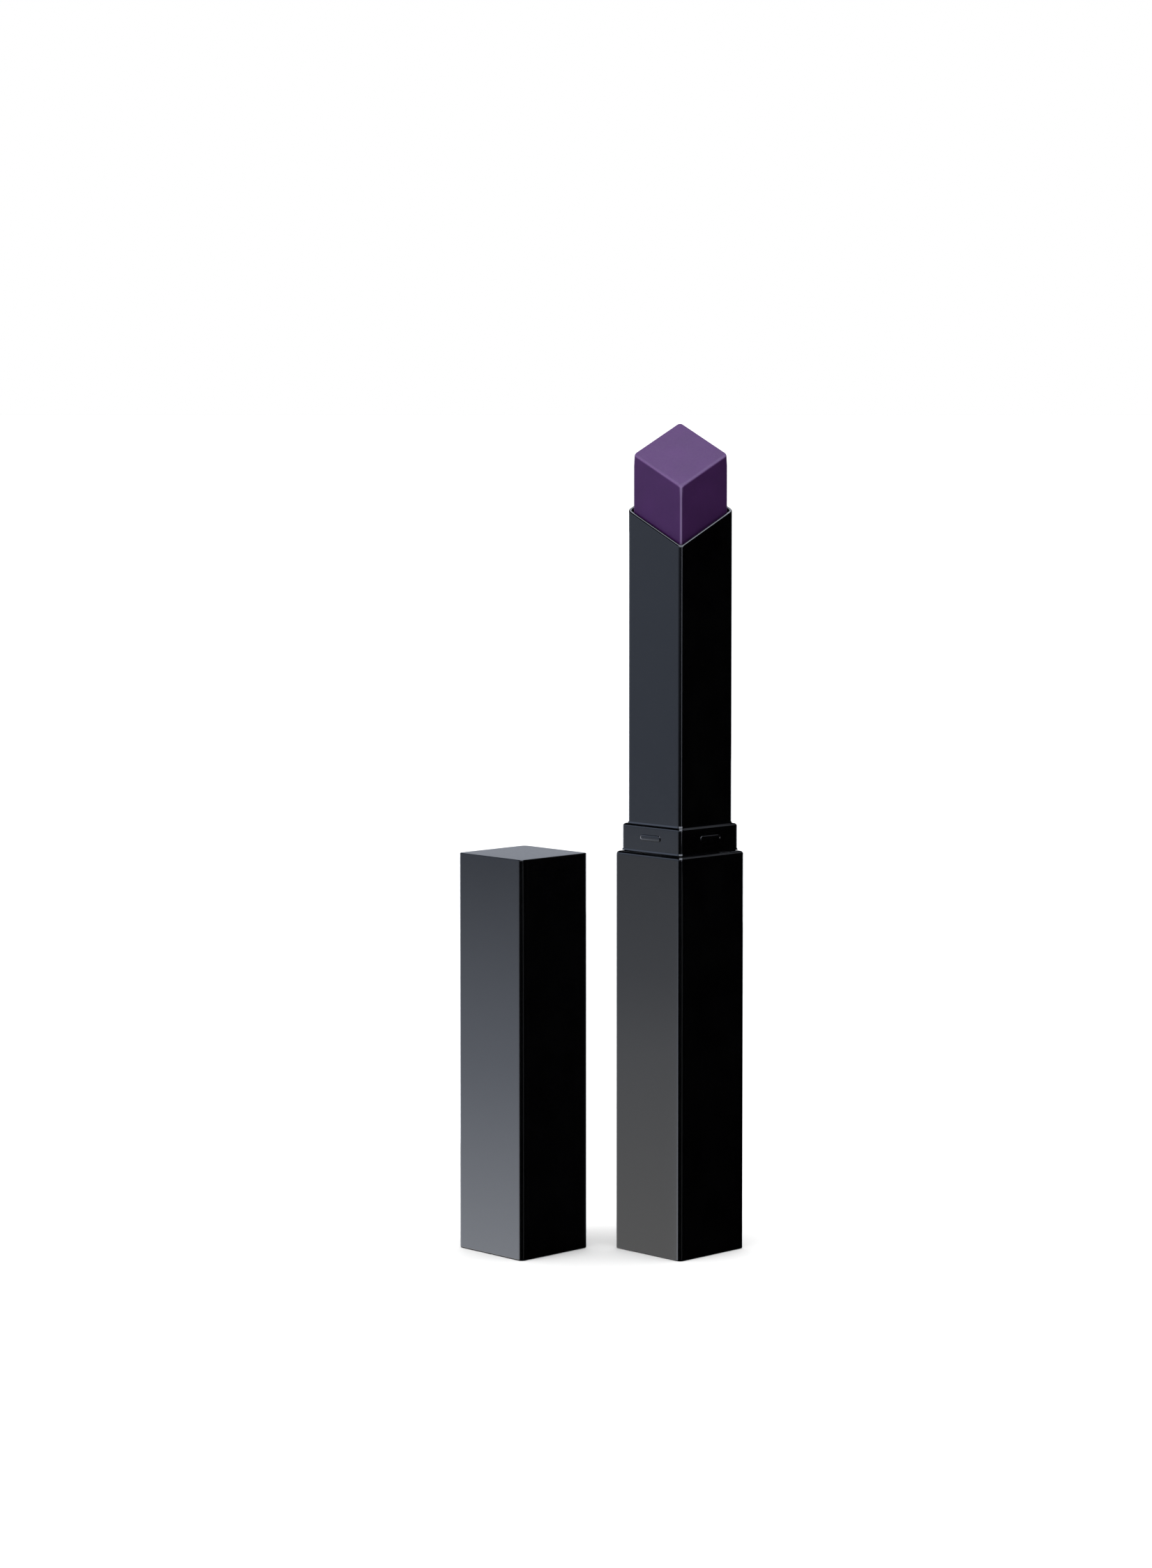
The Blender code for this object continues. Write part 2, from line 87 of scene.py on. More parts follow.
def new_finish(name):
    material = bpy.data.materials.new(name)
    material.use_nodes = True
    return material


def shader_of(material):
    return material.node_tree.nodes["Principled BSDF"]


def add_node(material, kind, label):
    node = material.node_tree.nodes.new(kind)
    node.label = label
    return node


def millimetres(material, stretch=(1.0, 1.0, 1.0)):
    """Object coordinates counted in millimetres, which may be stretched to draw out a grain."""
    place = add_node(material, "ShaderNodeTexCoord", "place on the object")
    scale = add_node(material, "ShaderNodeMapping", "in millimetres")
    scale.inputs["Scale"].default_value = [part / MM for part in stretch]
    material.node_tree.links.new(place.outputs["Object"], scale.inputs["Vector"])
    return scale.outputs["Vector"]


def noise(material, vector, label, scale, detail):
    texture = add_node(material, "ShaderNodeTexNoise", label)
    texture.inputs["Scale"].default_value = scale
    texture.inputs["Detail"].default_value = detail
    material.node_tree.links.new(vector, texture.inputs["Vector"])
    return texture.outputs["Fac"]


def vary_roughness(material, factor, low, high):
    """Sends a noise to the roughness as values from low to high."""
    span = add_node(material, "ShaderNodeMapRange", "from low to high")
    span.inputs["From Min"].default_value = NOISE_LOW
    span.inputs["From Max"].default_value = NOISE_HIGH
    span.inputs["To Min"].default_value = low
    span.inputs["To Max"].default_value = high
    material.node_tree.links.new(factor, span.inputs["Value"])
    material.node_tree.links.new(span.outputs["Result"], shader_of(material).inputs["Roughness"])


def tint(material, factor, first, second):
    """Blends two colours by a noise, sends the blend to the base colour and returns it."""
    ramp = add_node(material, "ShaderNodeValToRGB", "two close colours")
    for element, place, colour in zip(ramp.color_ramp.elements, TINT_ENDS, (first, second)):
        element.position = place
        element.color = (*colour, 1.0)
    material.node_tree.links.new(factor, ramp.inputs["Fac"])
    material.node_tree.links.new(ramp.outputs["Color"], shader_of(material).inputs["Base Color"])
    return ramp.outputs["Color"]


def relief(material, height, strength, distance):
    """A small bump, whose distance is in metres."""
    bump = add_node(material, "ShaderNodeBump", "fine relief")
    bump.inputs["Strength"].default_value = strength
    bump.inputs["Distance"].default_value = distance
    material.node_tree.links.new(height, bump.inputs["Height"])
    material.node_tree.links.new(bump.outputs["Normal"], shader_of(material).inputs["Normal"])


print("finish helpers ready")

# %% [markdown]
# ## Black lacquer
#
# The base, collar, sleeve and cap are drawn aluminium under a deep black gloss lacquer. A clear
# coat over a nearly black, smoother-than-satin body gives the two reflections of real lacquer: a
# crisp one from the coat and a soft one under it. The coat is never perfectly level, so a very
# shallow, slow noise bends it, and a finer one stands for the polish.

# %% Black lacquer
black_lacquer = new_finish("black_lacquer_gloss")
lacquer_shader = shader_of(black_lacquer)
lacquer_shader.inputs["IOR"].default_value = 1.5
lacquer_shader.inputs["Coat Weight"].default_value = 1.0
lacquer_shader.inputs["Coat Roughness"].default_value = 0.03
lacquer_shader.inputs["Coat IOR"].default_value = 1.5
lacquer_place = millimetres(black_lacquer)
depth = noise(black_lacquer, lacquer_place, "depth of the black", scale=0.25, detail=3.0)
tint(black_lacquer, depth, (0.0004, 0.0004, 0.0006), (0.0010, 0.0010, 0.0013))
polish = noise(black_lacquer, lacquer_place, "polish", scale=1.6, detail=4.0)
vary_roughness(black_lacquer, polish, low=0.16, high=0.24)
coat_level = noise(black_lacquer, lacquer_place, "level of the coat", scale=0.9, detail=1.0)
relief(black_lacquer, coat_level, strength=0.10, distance=0.004 * MM)
print("finish:", black_lacquer.name)

# %% [markdown]
# ## Lip colour
#
# The bullet is wax and pigment: satin, not glossy, and slightly cloudy. Two close purples drift
# into each other, the roughness varies over tenths of a millimetre, and the skin has the faint
# orange-peel that a moulded stick keeps. A second, drawn-out noise adds the weak upright drag
# lines from being pushed out of its mould. Its edges are painted a pale lavender, which stands
# partly for wax scuffed where the edges rub and partly for a painted highlight along them, so
# the material also reads an attribute, edge_wear_and_highlight, which the bullet's own mesh
# will carry.

# %% Lip colour
lip_colour = new_finish("lip_colour_satin")
lip_shader = shader_of(lip_colour)
lip_shader.inputs["IOR"].default_value = 1.46
lip_shader.inputs["Specular IOR Level"].default_value = 0.40
lip_place = millimetres(lip_colour)
lip_drag = millimetres(lip_colour, (1.0, 1.0, 0.05))
clouds = noise(lip_colour, lip_place, "cloudy pigment", scale=0.22, detail=3.0)
pigment = tint(lip_colour, clouds, (0.033, 0.0064, 0.056), (0.039, 0.0078, 0.065))
# painted highlight and wear: pale lavender on the bullet's edges, from the attribute below
wear_highlight_input = add_node(lip_colour, "ShaderNodeAttribute", "edge wear and highlight")
wear_highlight_input.attribute_name = "edge_wear_and_highlight"
scuffed_and_highlit = add_node(lip_colour, "ShaderNodeMix", "scuffed edges")
scuffed_and_highlit.data_type = "RGBA"
lip_colour.node_tree.links.new(wear_highlight_input.outputs["Fac"], scuffed_and_highlit.inputs["Factor"])
lip_colour.node_tree.links.new(pigment, scuffed_and_highlit.inputs["A"])
scuffed_and_highlit.inputs["B"].default_value = (0.19, 0.13, 0.26, 1.0)
lip_colour.node_tree.links.new(scuffed_and_highlit.outputs["Result"], lip_shader.inputs["Base Color"])
patches = noise(lip_colour, lip_place, "waxy patches", scale=3.5, detail=5.0)
vary_roughness(lip_colour, patches, low=0.32, high=0.44)
lip_skin = add_node(lip_colour, "ShaderNodeMath", "skin and drag lines")
lip_skin.operation = "ADD"
moulded_skin = noise(lip_colour, lip_place, "moulded skin", scale=2.4, detail=3.0)
drag_lines = noise(lip_colour, lip_drag, "drag lines", scale=3.0, detail=2.0)
lip_colour.node_tree.links.new(moulded_skin, lip_skin.inputs[0])
lip_colour.node_tree.links.new(drag_lines, lip_skin.inputs[1])
relief(lip_colour, lip_skin.outputs["Value"], strength=0.18, distance=0.03 * MM)
print("finish:", lip_colour.name)

# %% [markdown]
# ## Plastics, steel, rubber and paper
#
# The parts inside are plain working materials, but each has its own surface. Moulded plastic has
# a fine spark-eroded texture, turned and drawn steel has lines along one way, rubber is matt and
# dusty, and the label is coated paper with a little fibre. They differ in a handful of numbers,
# so one function makes them from a description.

# %% Working materials
def working_finish(name, first, second, rough, grain, stretch=(1, 1, 1), metal=0.0, bump=0.010):
    """A finish of two close colours, a range of roughness, a grain and a bump in millimetres."""
    material = new_finish(name)
    shader = shader_of(material)
    shader.inputs["Metallic"].default_value = metal
    vector = millimetres(material, stretch)
    tint(material, noise(material, vector, "shade", grain * 0.3, detail=3.0), first, second)
    grain_noise = noise(material, vector, "grain", grain, detail=4.0)
    vary_roughness(material, grain_noise, *rough)
    relief(material, grain_noise, strength=0.25, distance=bump * MM)
    print("finish:", name)
    return material


black_moulding = working_finish(
    "black_moulding_satin", (0.016, 0.016, 0.018), (0.024, 0.024, 0.026),
    rough=(0.38, 0.52), grain=7.0)
natural_moulding = working_finish(
    "natural_moulding_satin", (0.66, 0.65, 0.61), (0.74, 0.73, 0.70),
    rough=(0.32, 0.45), grain=4.0)
steel = working_finish(
    "steel_drawn", (0.50, 0.50, 0.51), (0.60, 0.60, 0.60),
    rough=(0.22, 0.40), grain=9.0, stretch=(1.0, 1.0, 0.06), metal=1.0, bump=0.004)
seal_rubber = working_finish(
    "seal_rubber_matt", (0.014, 0.014, 0.014), (0.028, 0.028, 0.027),
    rough=(0.65, 0.85), grain=6.0)
label_paper = working_finish(
    "label_paper_coated", (0.58, 0.56, 0.59), (0.66, 0.64, 0.66),
    rough=(0.50, 0.68), grain=5.0, stretch=(1.0, 0.35, 1.0), bump=0.012)

finish_of_slot = {
    "black_lacquer": black_lacquer,
    "lip_colour": lip_colour,
    "black_moulding": black_moulding,
    "natural_moulding": natural_moulding,
    "steel": steel,
    "seal_rubber": seal_rubber,
    "label_paper": label_paper,
}

# %% [markdown]
# ## How a square tube is lofted
#
# Base, collar, sleeve, bullet, cap and liner are all square with rounded corners, and only their
# size changes with height. Instead of bevelling a box, each is swept through a short list of
# stations, as a potter's profile is: half the width across the flats, the corner's radius, the
# height, the slant and how far that turn in the profile is rounded. A rounded turn becomes an arc,
# and a loop is held close on both sides of it, so that the flats stay truly flat and the light
# breaks only on the edge.

# %% The loft
CORNER_STEPS = 12  # facets in each upright corner
EDGE_STEPS = 6  # facets in each rounded rim
HOLD = 0.03 * MM  # the holding loops lie this far past an arc
FACE_INSET = 1.0 * MM  # a flat end face gets its last loop this far inside its edge
MERGE_DISTANCE = 0.0001 * MM
SHARP_ANGLE = math.radians(32)


def square_loop(half, corner, z, slant):
    """Points around a square with rounded corners, anticlockwise from above. A slanted loop
    is lowest at the corner (+X, -Y)."""
    hold = min(HOLD, max(half - corner, 0.0))
    centre = half - corner
    side = [(half, centre - hold)]
    for step in range(CORNER_STEPS + 1):
        angle = step / CORNER_STEPS * math.pi / 2
        side.append((centre + corner * math.cos(angle), centre + corner * math.sin(angle)))
    side.append((centre - hold, half))
    loop = []
    for quarter in range(4):
        cosine, sine = math.cos(quarter * math.pi / 2), math.sin(quarter * math.pi / 2)
        for x, y in side:
            turned_x, turned_y = x * cosine - y * sine, x * sine + y * cosine
            lift = slant * (turned_y - turned_x) / math.sqrt(2)
            loop.append(Vector((turned_x, turned_y, z + lift)))
    return loop


def soften(profile):
    """Turns stations (half, corner, z, slant, rounding) into loops, with an arc at each turn."""
    stations = []
    for index, (*here, rounding) in enumerate(profile):
        here = Vector(here)
        if not rounding:
            stations.append(here)
            continue
        back = Vector(profile[index - 1][:4]) - here
        ahead = Vector(profile[(index + 1) % len(profile)][:4]) - here
        back /= math.hypot(back[0], back[2])
        ahead /= math.hypot(ahead[0], ahead[2])
        stations.append(here + back * (rounding + HOLD))
        for step in range(EDGE_STEPS + 1):
            angle = step / EDGE_STEPS * math.pi / 2
            stations.append(here + back * rounding * (1 - math.sin(angle))
                            + ahead * rounding * (1 - math.cos(angle)))
        stations.append(here + ahead * (rounding + HOLD))
    return stations


def mesh_piece(name, bm, finish):
    """Turns a bmesh into an object at the origin, smooth except across its true creases."""
    bmesh.ops.remove_doubles(bm, verts=bm.verts, dist=MERGE_DISTANCE)
    bmesh.ops.recalc_face_normals(bm, faces=bm.faces)
    mesh = bpy.data.meshes.new(name)
    bm.to_mesh(mesh)
    bm.free()
    return show_mesh(name, mesh, finish)


def show_mesh(name, mesh, finish):
    mesh.materials.clear()
    mesh.materials.append(finish)
    mesh.shade_smooth()
    mesh.set_sharp_from_angle(angle=SHARP_ANGLE)
    piece = bpy.data.objects.new(name, mesh)
    bpy.context.scene.collection.objects.link(piece)
    return piece


def loft(name, profile, finish, closed=False, middle=Vector((0, 0, 0))):
    """Sweeps a profile into a solid. A closed profile makes a ring, and an open one is capped."""
    bm = bmesh.new()
    loops = []
    for half, corner, z, slant in soften(profile):
        loops.append([bm.verts.new(point + middle) for point in square_loop(half, corner, z, slant)])
    count = len(loops[0])
    pairs = list(zip(loops, loops[1:])) + ([(loops[-1], loops[0])] if closed else [])
    for low, high in pairs:
        for i in range(count):
            j = (i + 1) % count
            bm.faces.new((low[i], low[j], high[j], high[i]))
    if not closed:
        bm.faces.new(loops[0][::-1])
        bm.faces.new(loops[-1])
    return mesh_piece(name, bm, finish)


def stand_in(piece, node, body):
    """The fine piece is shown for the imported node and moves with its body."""
    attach(piece, body)
    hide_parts(node)
    print(f"{piece.name}: {len(piece.data.polygons)} faces for {node} on {body}")


# %% [markdown]
# ## Base
#
# A square cup of 0.5 mm wall, closed at its foot. The profile starts in the label's recess under
# the foot, turns over the foot's edge, climbs the outside, rolls over the rim and goes down the
# inside to the floor. The rim is rolled across almost its whole wall on the outside, where a
# thumb meets it, and stays nearly square on the inside.

# %% Base shell
CASE_CORNER = 0.60 * MM
CASE_WALL = 0.50 * MM
INNER_CORNER = CASE_CORNER / 2
RECESS_EDGE = 0.04 * MM
FOOT_EDGE = 0.12 * MM
RIM_EDGE = 0.42 * MM
BORE_EDGE = 0.02 * MM
BASE_FLOOR = 1.0 * MM
LABEL_MARGIN = 0.10 * MM

base_low, base_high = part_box("base_shell")
case_half = node_half("base_shell")
label_half = node_half("shade_label")
label_low, label_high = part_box("shade_label")
recess_half = label_half + LABEL_MARGIN
recess_z = label_high.z + LABEL_MARGIN / 2
inner_half = case_half - CASE_WALL
base_shell = loft("base_shell_lacquered", [
    (recess_half, CASE_CORNER, recess_z, 0, 0),
    (recess_half, CASE_CORNER, base_low.z, 0, RECESS_EDGE),
    (case_half, CASE_CORNER, base_low.z, 0, FOOT_EDGE),
    (case_half, CASE_CORNER, base_high.z, 0, RIM_EDGE),
    (inner_half, INNER_CORNER, base_high.z, 0, BORE_EDGE),
    (inner_half, INNER_CORNER, BASE_FLOOR, 0, 0),
], black_lacquer)
stand_in(base_shell, "base_shell", "base")

# %% [markdown]
# ## Shade label
#
# A thin plate of coated paper lies flush in the foot's recess. On a real lipstick it carries the
# shade's name. Here it is blank, with just the soft edge of a punched card.

# %% Shade label
LABEL_CORNER = 0.60 * MM
PUNCHED_EDGE = 0.05 * MM
BURRED_EDGE = 0.03 * MM

shade_label = loft("shade_label_blank", [
    (label_half - FACE_INSET, LABEL_CORNER, label_low.z, 0, 0),
    (label_half, LABEL_CORNER, label_low.z, 0, PUNCHED_EDGE),
    (label_half, LABEL_CORNER, label_high.z, 0, BURRED_EDGE),
    (label_half - FACE_INSET, LABEL_CORNER, label_high.z, 0, 0),
], label_paper)
stand_in(shade_label, "shade_label", "base")

# %% [markdown]
# ## Collar
#
# The collar turns on the base's rim and holds the sleeve in a square socket. Its own profile is a
# closed ring: the round hole for the mechanism is the same loop as the square one, with a corner
# radius as large as half its width. The sleeve rises out of it past a narrow shoulder. Lacquer
# gathers at the foot of an upright wall, so collar and sleeve both flare out there by a hair, and
# that flare is what draws the thin pale line above each shoulder.

# %% Collar
BEAD_PROUD = 0.15 * MM
COLLAR_WALL = 0.50 * MM
SOCKET_FLOOR = 0.85 * MM
HOLE_RADIUS = 4.85 * MM
FLARE_OUT = 0.09 * MM
FLARE_HEIGHT = 0.24 * MM
FLARE_BLEND = 0.03 * MM
FLARE_EDGE = 0.02 * MM
HOLE_EDGE = 0.05 * MM

collar_low, collar_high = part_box("collar")
collar_half = node_half("collar") - BEAD_PROUD
socket_half = collar_half - COLLAR_WALL
socket_z = collar_low.z + SOCKET_FLOOR
collar = loft("collar_lacquered", [
    (HOLE_RADIUS, HOLE_RADIUS, collar_low.z, 0, HOLE_EDGE),
    (collar_half + FLARE_OUT, CASE_CORNER, collar_low.z, 0, FLARE_EDGE),
    (collar_half, CASE_CORNER, collar_low.z + FLARE_HEIGHT, 0, FLARE_BLEND),
    (collar_half, CASE_CORNER, collar_high.z, 0, RIM_EDGE),
    (socket_half, INNER_CORNER, collar_high.z, 0, BORE_EDGE),
    (socket_half, INNER_CORNER, socket_z, 0, 0),
    (HOLE_RADIUS, HOLE_RADIUS, socket_z, 0, 0),
], black_lacquer, closed=True)
stand_in(collar, "collar", "turning_sleeve")

# %% [markdown]
# ## Four snap beads, set out by Geometry Nodes
#
# Each flat side of the collar has an oblong bead, which the cap's dimples click over. One bead is
# modelled: a pill with a swelling edge, lying on the side that faces -Y. A small node tree
# repeats it around the case's axis. It makes one point for each copy, places the bead on every
# point, turns each copy by its index, makes the copies real and gives them the finish. The cap's
# dimples are the same tree with a slightly larger pill.

# %% One pill
PILL_STEPS = 10


def pill_mesh(name, length, width, reach, depth, spread, rise, z):
    """An oblong pad on the side facing -Y, whose face lies reach from the axis. Its edge swells
    up by rise over a wider spread, as a pressed bead does."""
    bm = bmesh.new()
    loops = []
    levels = [(0.0, reach - depth)]
    for step in range(2 * EDGE_STEPS + 1):
        angle = step / (2 * EDGE_STEPS) * math.pi / 2
        levels.append((spread * (1 - math.cos(angle)), reach - rise * (1 - math.sin(angle))))
    for inset, distance in levels:
        radius = width / 2 - inset
        straight = length / 2 - width / 2
        loop = []
        for end in (1, -1):
            for step in range(PILL_STEPS + 1):
                angle = (step / PILL_STEPS - 0.5) * math.pi
                x = end * (straight + radius * math.cos(angle))
                height = end * radius * math.sin(angle)
                loop.append(bm.verts.new((x, -distance, z + height)))
        loops.append(loop)
    count = len(loops[0])
    for low, high in zip(loops, loops[1:]):
        for i in range(count):
            j = (i + 1) % count
            bm.faces.new((low[i], low[j], high[j], high[i]))
    bm.faces.new(loops[0])
    bm.faces.new(loops[-1])
    bmesh.ops.recalc_face_normals(bm, faces=bm.faces)
    mesh = bpy.data.meshes.new(name)
    bm.to_mesh(mesh)
    bm.free()
    return mesh


print("pill helper ready")


# %% The tree that repeats a piece around an axis
def around_axis_tree():
    tree = bpy.data.node_groups.new("repeat_around_axis", "GeometryNodeTree")
    face = tree.interface
    for label, kind in (("Piece", "NodeSocketObject"), ("Copies", "NodeSocketInt"),
                        ("Axis", "NodeSocketVector"), ("Finish", "NodeSocketMaterial")):
        face.new_socket(label, in_out="INPUT", socket_type=kind)
    face.new_socket("Geometry", in_out="OUTPUT", socket_type="NodeSocketGeometry")
    new, link = tree.nodes.new, tree.links.new
    given, made = new("NodeGroupInput"), new("NodeGroupOutput")
    info = new("GeometryNodeObjectInfo")
    info.inputs["As Instance"].default_value = True
    points = new("GeometryNodePoints")
    share = new("ShaderNodeMath")
    share.operation = "DIVIDE"
    share.inputs[0].default_value = math.tau
    angle = new("ShaderNodeMath")
    angle.operation = "MULTIPLY"
    index = new("GeometryNodeInputIndex")
    turn = new("ShaderNodeCombineXYZ")
    copies = new("GeometryNodeInstanceOnPoints")
    real = new("GeometryNodeRealizeInstances")
    dress = new("GeometryNodeSetMaterial")
    link(given.outputs["Piece"], info.inputs["Object"])
    link(given.outputs["Copies"], points.inputs["Count"])
    link(given.outputs["Axis"], points.inputs["Position"])
    link(given.outputs["Copies"], share.inputs[1])
    link(share.outputs[0], angle.inputs[0])
    link(index.outputs[0], angle.inputs[1])
    link(angle.outputs[0], turn.inputs["Z"])
    link(points.outputs[0], copies.inputs["Points"])
    link(info.outputs["Geometry"], copies.inputs["Instance"])
    link(turn.outputs[0], copies.inputs["Rotation"])
    link(copies.outputs[0], real.inputs["Geometry"])
    link(real.outputs[0], dress.inputs["Geometry"])
    link(given.outputs["Finish"], dress.inputs["Material"])
    link(dress.outputs[0], made.inputs["Geometry"])
    return tree


def repeat_around(name, source_mesh, copies, axis, finish):
    """Runs the tree once and returns its result as a plain mesh."""
    source = bpy.data.objects.new(name + "_source", source_mesh)
    host = bpy.data.objects.new(name + "_host", bpy.data.meshes.new(name + "_host"))
    for helper in (source, host):
        bpy.context.scene.collection.objects.link(helper)
    modifier = host.modifiers.new("around", "NODES")
    modifier.node_group = axis_tree
    values = {"Piece": source, "Copies": copies, "Axis": axis, "Finish": finish}
    for socket in axis_tree.interface.items_tree:
        if socket.in_out == "INPUT":
            modifier[socket.identifier] = values[socket.name]
    graph = bpy.context.evaluated_depsgraph_get()
    mesh = bpy.data.meshes.new_from_object(host.evaluated_get(graph))
    mesh.name = name
    for helper in (host, source):
        bpy.data.objects.remove(helper)
    return mesh


axis_tree = around_axis_tree()
print("tree:", axis_tree.name, "with", len(axis_tree.nodes), "nodes")

# %% Snap beads
BEAD_LENGTH = 3.8 * MM
BEAD_WIDTH = 0.85 * MM
BEAD_RISE = 1.95 * MM  # middle of a bead above the collar's foot
BEAD_ROOT = 0.10 * MM  # how deep a bead is let into the collar's wall
BEAD_SPREAD = 0.34 * MM  # its edge swells over this width
SIDES = 4

one_bead = pill_mesh("one_bead", BEAD_LENGTH, BEAD_WIDTH, collar_half + BEAD_PROUD,
                     BEAD_PROUD + BEAD_ROOT, BEAD_SPREAD, BEAD_PROUD, collar_low.z + BEAD_RISE)
bead_mesh = repeat_around("snap_beads", one_bead, SIDES, (0.0, 0.0, 0.0), black_lacquer)
snap_beads = show_mesh("snap_beads", bead_mesh, black_lacquer)
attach(snap_beads, "turning_sleeve")
print("snap beads:", len(bead_mesh.polygons), "faces in", SIDES, "beads")

# %% [markdown]
# ## Sleeve
#
# The sleeve is a thin square tube, and its rim is cut on the same slant as the bullet. Only its
# two upper stations carry the slant, so its walls stay upright while its rim tilts. The rim's two
# edges are rolled almost into each other, as on a polished metal lip, so that only a thread of it
# shines. Its flare starts a hair above the collar that it stands in.

# %% Sleeve
SLEEVE_WALL = 0.40 * MM
SLANT = 0.67  # rise for each unit along the diagonal
FLARE_GAP = 0.01 * MM
SLEEVE_FOOT_EDGE = 0.08 * MM
LIP_OUTSIDE = 0.18 * MM
LIP_INSIDE = 0.16 * MM


def height_on_axis(highest, half, corner):
    """The slanted plane's height on the axis, from the highest point of a slanted square."""
    return highest - SLANT * (math.sqrt(2) * (half - corner) + corner)


sleeve_low, sleeve_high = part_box("sleeve")
sleeve_half = node_half("sleeve")
sleeve_rim = height_on_axis(sleeve_high.z, sleeve_half, CASE_CORNER)
sleeve_bore = sleeve_half - SLEEVE_WALL
flare_z = collar_high.z + FLARE_GAP
sleeve = loft("sleeve_lacquered", [
    (sleeve_bore, INNER_CORNER, sleeve_low.z, 0, HOLE_EDGE),
    (sleeve_half, CASE_CORNER, sleeve_low.z, 0, SLEEVE_FOOT_EDGE),
    (sleeve_half, CASE_CORNER, flare_z, 0, 0),
    (sleeve_half + FLARE_OUT, CASE_CORNER, flare_z, 0, 0),
    (sleeve_half, CASE_CORNER, flare_z + FLARE_HEIGHT, 0, FLARE_BLEND),
    (sleeve_half, CASE_CORNER, sleeve_rim, SLANT, LIP_OUTSIDE),
    (sleeve_bore, INNER_CORNER, sleeve_rim, SLANT, LIP_INSIDE),
], black_lacquer, closed=True)
stand_in(sleeve, "sleeve", "turning_sleeve")
print(f"sleeve rim on the axis: {sleeve_rim / MM:.2f} mm")

# %% [markdown]
# ## Bullet
#
# The stick of lip colour is square, stands on a smaller foot in its cup and ends in the slanted
# face. Wax never keeps a knife edge, so its top is rolled over more than the metal is, and its
# corners widen towards the tip. How pale a point is painted, for wear and for a painted highlight
# on the edges, is worked out from its normal: none where it agrees with one of the flats, full
# where it leans 45 degrees away from them.

# %% Bullet
BULLET_CORNER = 0.35 * MM
TIP_CORNER = 0.55 * MM
TIP_HEIGHT = 1.6 * MM  # the corners widen over this height
BULLET_EDGE = 0.30 * MM
SHOULDER_EDGE = 0.05 * MM
CUP_GAP = 0.05 * MM  # the bullet's shoulder clears the cup's rim by this
CUP_WALL_AND_RIB = 0.90 * MM
# the edges are painted fully pale, as wear and painted highlight, at this lean
FULL_WEAR_HIGHLIGHT_LEAN = math.radians(45)

bullet_low, bullet_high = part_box("bullet")
cup_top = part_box("cup")[1].z
bullet_half = node_half("bullet")
bullet_foot = node_half("cup") - CUP_WALL_AND_RIB
bullet_z = cup_top + CUP_GAP
bullet_top = height_on_axis(bullet_high.z, bullet_half, BULLET_CORNER)
bullet = loft("bullet_of_lip_colour", [
    (bullet_foot, INNER_CORNER, bullet_low.z, 0, 0),
    (bullet_foot, INNER_CORNER, bullet_z, 0, 0),
    (bullet_half, BULLET_CORNER, bullet_z, 0, SHOULDER_EDGE),
    (bullet_half, BULLET_CORNER, bullet_top - TIP_HEIGHT, SLANT, 0),
    (bullet_half, TIP_CORNER, bullet_top, SLANT, BULLET_EDGE),
    (bullet_half - FACE_INSET, BULLET_CORNER, bullet_top, SLANT, 0),
], lip_colour)
slanted = Vector((SLANT / math.sqrt(2), -SLANT / math.sqrt(2), 1)).normalized()
flats = [Vector((1, 0, 0)), Vector((-1, 0, 0)), Vector((0, 1, 0)), Vector((0, -1, 0)), slanted]
# painted highlight and wear: how pale each point of the edges is painted, from its normal
wear_highlight_layer = bullet.data.attributes.new("edge_wear_and_highlight", "FLOAT", "POINT")
for vertex in bullet.data.vertices:
    nearest = max(vertex.normal.dot(flat) for flat in flats)
    wear_highlight_layer.data[vertex.index].value = min(1.0, (1 - nearest) / (1 - math.cos(FULL_WEAR_HIGHLIGHT_LEAN)))
stand_in(bullet, "bullet", "carrier")
print(f"bullet top on the axis: {bullet_top / MM:.2f} mm")

# %% [markdown]
# ## Cap
#
# The cap has the base's section and stands on its open rim beside the case. Its profile starts at
# the ceiling inside, comes down the bore, turns under the rim and climbs the outside to the plain
# flat top. The dimples for the beads are pressed into the bore with a Boolean: the same tree as
# before sets out four larger pills, and the shell is cut with them.

# %% Cap shell
CAP_TOP = 0.85 * MM
CAP_RIM_EDGE = 0.18 * MM
CAP_BORE_EDGE = 0.08 * MM
DIMPLE_FIT = 0.05 * MM
DIMPLE_OVERCUT = 0.3 * MM  # the cutting pills start this far inside the bore

cap_low, cap_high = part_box("cap_shell")
cap_half = node_half("cap_shell")
cap_axis = node_middle("cap_shell")
cap_bore = cap_half - CASE_WALL
cap_shell = loft("cap_shell_lacquered", [
    (cap_bore, INNER_CORNER, cap_high.z - CAP_TOP, 0, 0),
    (cap_bore, INNER_CORNER, cap_low.z, 0, CAP_BORE_EDGE),
    (cap_half, CASE_CORNER, cap_low.z, 0, CAP_RIM_EDGE),
    (cap_half, CASE_CORNER, cap_high.z, 0, FOOT_EDGE),
    (cap_half - FACE_INSET, CASE_CORNER, cap_high.z, 0, 0),
], black_lacquer, middle=cap_axis)
dimple_reach = collar_half + BEAD_PROUD + DIMPLE_FIT
one_dimple = pill_mesh("one_dimple", BEAD_LENGTH + 2 * DIMPLE_FIT, BEAD_WIDTH + 2 * DIMPLE_FIT,
                       dimple_reach, dimple_reach - cap_bore + DIMPLE_OVERCUT, BEAD_SPREAD,
                       dimple_reach - cap_bore, collar_low.z - base_high.z + BEAD_RISE)
dimple_mesh = repeat_around("cap_dimples", one_dimple, SIDES, tuple(cap_axis), black_lacquer)
dimple_cutter = bpy.data.objects.new("cap_dimples", dimple_mesh)
bpy.context.scene.collection.objects.link(dimple_cutter)
cut = cap_shell.modifiers.new("dimples", "BOOLEAN")
cut.object = dimple_cutter
